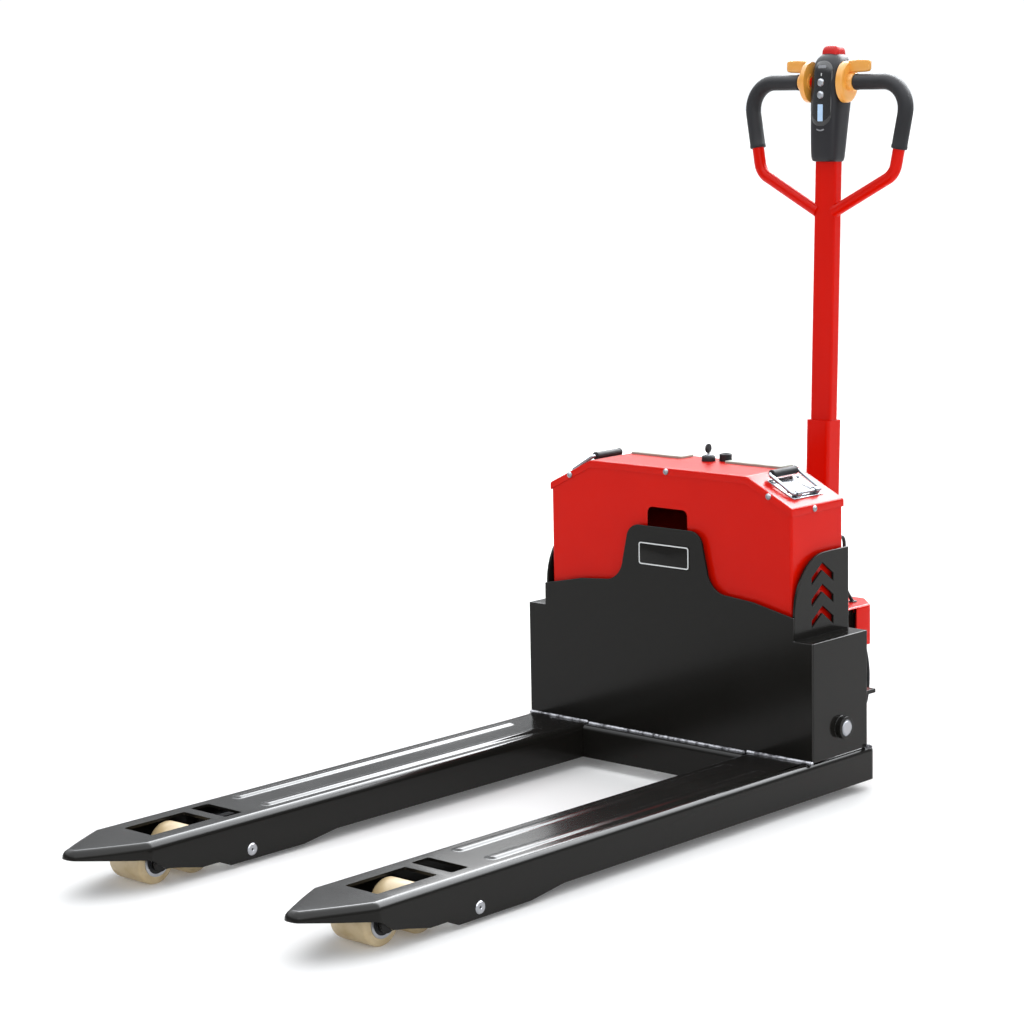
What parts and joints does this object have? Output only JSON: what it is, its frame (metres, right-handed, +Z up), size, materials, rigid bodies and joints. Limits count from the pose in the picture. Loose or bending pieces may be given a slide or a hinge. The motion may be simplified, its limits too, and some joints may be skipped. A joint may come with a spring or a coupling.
{
  "type": "electric pallet truck",
  "caption": "Walk-behind electric pallet truck: lifting forks on load rollers, steered drive wheel under a tiller with grips, and a sheet-metal battery cover.",
  "frame": {"origin": "on the floor, at the middle of the overall length and width with the tiller upright and the forks lowered", "axes": "+X to the right across the forks, -Y towards the fork tips, +Y towards the tiller, +Z up"},
  "size_m": [0.711, 1.83, 1.3711],
  "materials": {
    "red_paint": "gloss enamel",
    "black_paint": "semi-gloss powder coat",
    "plate": "satin",
    "bright_steel": "zinc plated",
    "chrome": "polished",
    "weld": "as welded",
    "nylon": "cast polyurethane",
    "rubber": "matt",
    "tyre": "rubber",
    "dark_plastic": "fine grain",
    "pale_plastic": "satin",
    "amber": "satin",
    "red_plastic": "gloss",
    "aluminium": "cast",
    "battery": "moulded"
  },
  "bodies": {
    "power_unit": {"chassis_frame": "black_paint", "power_cover": "red_paint", "cover_lid": "red_paint", "lid_screws": "bright_steel", "lid_panels": "pale_plastic", "key_switch": "dark_plastic", "charge_socket": "dark_plastic", "battery_pack": "battery", "motor_controller": "aluminium", "power_pack": "aluminium", "lift_cylinder": "black_paint", "rear_housing": "red_paint", "handle_bases": "bright_steel"},
    "fork_frame": {"fork_left": "black_paint", "fork_right": "black_paint", "cross_beam": "black_paint", "front_plate": "black_paint", "side_boxes": "black_paint", "arrow_plates": "black_paint", "weld_beads": "weld", "nameplate": "plate", "lift_bracket": "black_paint", "lift_rod": "chrome", "fork_pins": "bright_steel"},
    "cranks": {"linkage_cranks": "bright_steel"},
    "rods": {"push_rods": "bright_steel"},
    "arms": {"roller_arms": "black_paint"},
    "bogie_l": {"bogie_left": "bright_steel"},
    "bogie_r": {"bogie_right": "bright_steel"},
    "roller_fl": {"roller_front_left": "nylon"},
    "roller_rl": {"roller_rear_left": "nylon"},
    "roller_fr": {"roller_front_right": "nylon"},
    "roller_rr": {"roller_rear_right": "nylon"},
    "steering_head": {"drive_bracket": "black_paint", "drive_motor": "aluminium", "drive_hood": "red_paint", "motor_cable": "rubber", "tiller_yoke": "red_paint", "tiller_pin": "bright_steel"},
    "drive_wheel": {"drive_hub": "aluminium", "drive_tyre": "tyre"},
    "tiller": {"tiller_boot": "red_paint", "tiller_tube": "red_paint", "handle_loops": "red_paint", "handle_grips": "rubber", "head_shell": "dark_plastic", "display_panel": "pale_plastic"},
    "throttle": {"throttle_wings": "amber"},
    "belly": {"belly_button": "red_plastic"},
    "raise_key": {"raise_button": "chrome"},
    "lower_key": {"lower_button": "chrome"},
    "key": {"ignition_key": "bright_steel"},
    "stop": {"stop_button": "red_plastic"},
    "handle_l": {"lid_handle_left": "chrome"},
    "handle_r": {"lid_handle_right": "chrome"},
    "caster_l": {"caster_fork_left": "bright_steel"},
    "caster_r": {"caster_fork_right": "bright_steel"},
    "caster_wheel_l": {"caster_wheel_left": "nylon"},
    "caster_wheel_r": {"caster_wheel_right": "nylon"}
  },
  "joints": [
    {"name": "lift", "type": "slide", "parent": "power_unit", "child": "fork_frame", "axis": [0, 0, 1], "range_m": [0, 0.115]},
    {"name": "crank_turn", "type": "hinge", "parent": "fork_frame", "child": "cranks", "pos_m": [0, 0.395, 0.137], "axis": [-1, 0, 0], "range_deg": [0, 50]},
    {"name": "rod_push", "type": "slide", "parent": "fork_frame", "child": "rods", "axis": [0, -1, 0], "range_m": [0, 0.021]},
    {"name": "arm_swing", "type": "hinge", "parent": "fork_frame", "child": "arms", "pos_m": [0, -0.573, 0.026], "axis": [1, 0, 0], "range_deg": [0, 52.07]},
    {"name": "bogie_tilt_l", "type": "hinge", "parent": "arms", "child": "bogie_l", "pos_m": [-0.2675, -0.713, 0.039], "axis": [-1, 0, 0], "range_deg": [0, 52.07]},
    {"name": "bogie_tilt_r", "type": "hinge", "parent": "arms", "child": "bogie_r", "pos_m": [0.2675, -0.713, 0.039], "axis": [-1, 0, 0], "range_deg": [0, 52.07]},
    {"name": "roller_spin_fl", "type": "hinge", "parent": "bogie_l", "child": "roller_fl", "pos_m": [-0.2675, -0.756, 0.039], "axis": [1, 0, 0], "continuous": true},
    {"name": "roller_spin_rl", "type": "hinge", "parent": "bogie_l", "child": "roller_rl", "pos_m": [-0.2675, -0.67, 0.039], "axis": [1, 0, 0], "continuous": true},
    {"name": "roller_spin_fr", "type": "hinge", "parent": "bogie_r", "child": "roller_fr", "pos_m": [0.2675, -0.756, 0.039], "axis": [1, 0, 0], "continuous": true},
    {"name": "roller_spin_rr", "type": "hinge", "parent": "bogie_r", "child": "roller_rr", "pos_m": [0.2675, -0.67, 0.039], "axis": [1, 0, 0], "continuous": true},
    {"name": "steer", "type": "hinge", "parent": "power_unit", "child": "steering_head", "pos_m": [0, 0.801, 0.292], "axis": [0, 0, 1], "range_deg": [-90, 90]},
    {"name": "drive_spin", "type": "hinge", "parent": "steering_head", "child": "drive_wheel", "pos_m": [0, 0.801, 0.105], "axis": [1, 0, 0], "continuous": true},
    {"name": "tiller_tilt", "type": "hinge", "parent": "steering_head", "child": "tiller", "pos_m": [0, 0.801, 0.43], "axis": [-1, 0, 0], "range_deg": [0, 80], "stiffness_Nm_per_rad": 26, "springref_deg": -17.19},
    {"name": "throttle_turn", "type": "hinge", "parent": "tiller", "child": "throttle", "pos_m": [0, 0.82533, 1.29868], "axis": [1, 0, 0], "range_deg": [-30, 30], "stiffness_Nm_per_rad": 0.6},
    {"name": "belly_press", "type": "slide", "parent": "tiller", "child": "belly", "axis": [0, -0.0349, -0.9994], "range_m": [0, 0.008], "stiffness_N_per_m": 900, "springref_m": -0.002},
    {"name": "raise_press", "type": "slide", "parent": "tiller", "child": "raise_key", "axis": [0, 0.9994, -0.0349], "range_m": [0, 0.003], "stiffness_N_per_m": 500, "springref_m": -0.001},
    {"name": "lower_press", "type": "slide", "parent": "tiller", "child": "lower_key", "axis": [0, 0.9994, -0.0349], "range_m": [0, 0.003], "stiffness_N_per_m": 500, "springref_m": -0.001},
    {"name": "key_turn", "type": "hinge", "parent": "power_unit", "child": "key", "pos_m": [0.005, 0.435, 0.61], "axis": [0, 0, -1], "range_deg": [0, 60]},
    {"name": "stop_press", "type": "slide", "parent": "power_unit", "child": "stop", "axis": [0, 0, -1], "range_m": [0, 0.006], "stiffness_N_per_m": 900, "springref_m": -0.002},
    {"name": "handle_lift_r", "type": "hinge", "parent": "power_unit", "child": "handle_r", "pos_m": [0.26567, 0.395, 0.56554], "axis": [0, 1, 0], "range_deg": [0, 80], "stiffness_Nm_per_rad": 0.6, "springref_deg": -28.65},
    {"name": "handle_lift_l", "type": "hinge", "parent": "power_unit", "child": "handle_l", "pos_m": [-0.26567, 0.395, 0.56554], "axis": [0, -1, 0], "range_deg": [0, 80], "stiffness_Nm_per_rad": 0.6, "springref_deg": -28.65},
    {"name": "caster_swivel_l", "type": "hinge", "parent": "power_unit", "child": "caster_l", "pos_m": [-0.215, 0.58, 0.15], "axis": [0, 0, 1], "continuous": true},
    {"name": "caster_spin_l", "type": "hinge", "parent": "caster_l", "child": "caster_wheel_l", "pos_m": [-0.215, 0.552, 0.0375], "axis": [1, 0, 0], "continuous": true},
    {"name": "caster_swivel_r", "type": "hinge", "parent": "power_unit", "child": "caster_r", "pos_m": [0.215, 0.58, 0.15], "axis": [0, 0, 1], "continuous": true},
    {"name": "caster_spin_r", "type": "hinge", "parent": "caster_r", "child": "caster_wheel_r", "pos_m": [0.215, 0.552, 0.0375], "axis": [1, 0, 0], "continuous": true}
  ],
  "couplings": [
    {"joint": "crank_turn", "follows": "lift", "rad_per_m": 7.588},
    {"joint": "rod_push", "follows": "lift", "ratio": 0.182},
    {"joint": "arm_swing", "follows": "lift", "rad_per_m": 7.902},
    {"joint": "bogie_tilt_l", "follows": "lift", "rad_per_m": 7.902},
    {"joint": "bogie_tilt_r", "follows": "lift", "rad_per_m": 7.902}
  ]
}
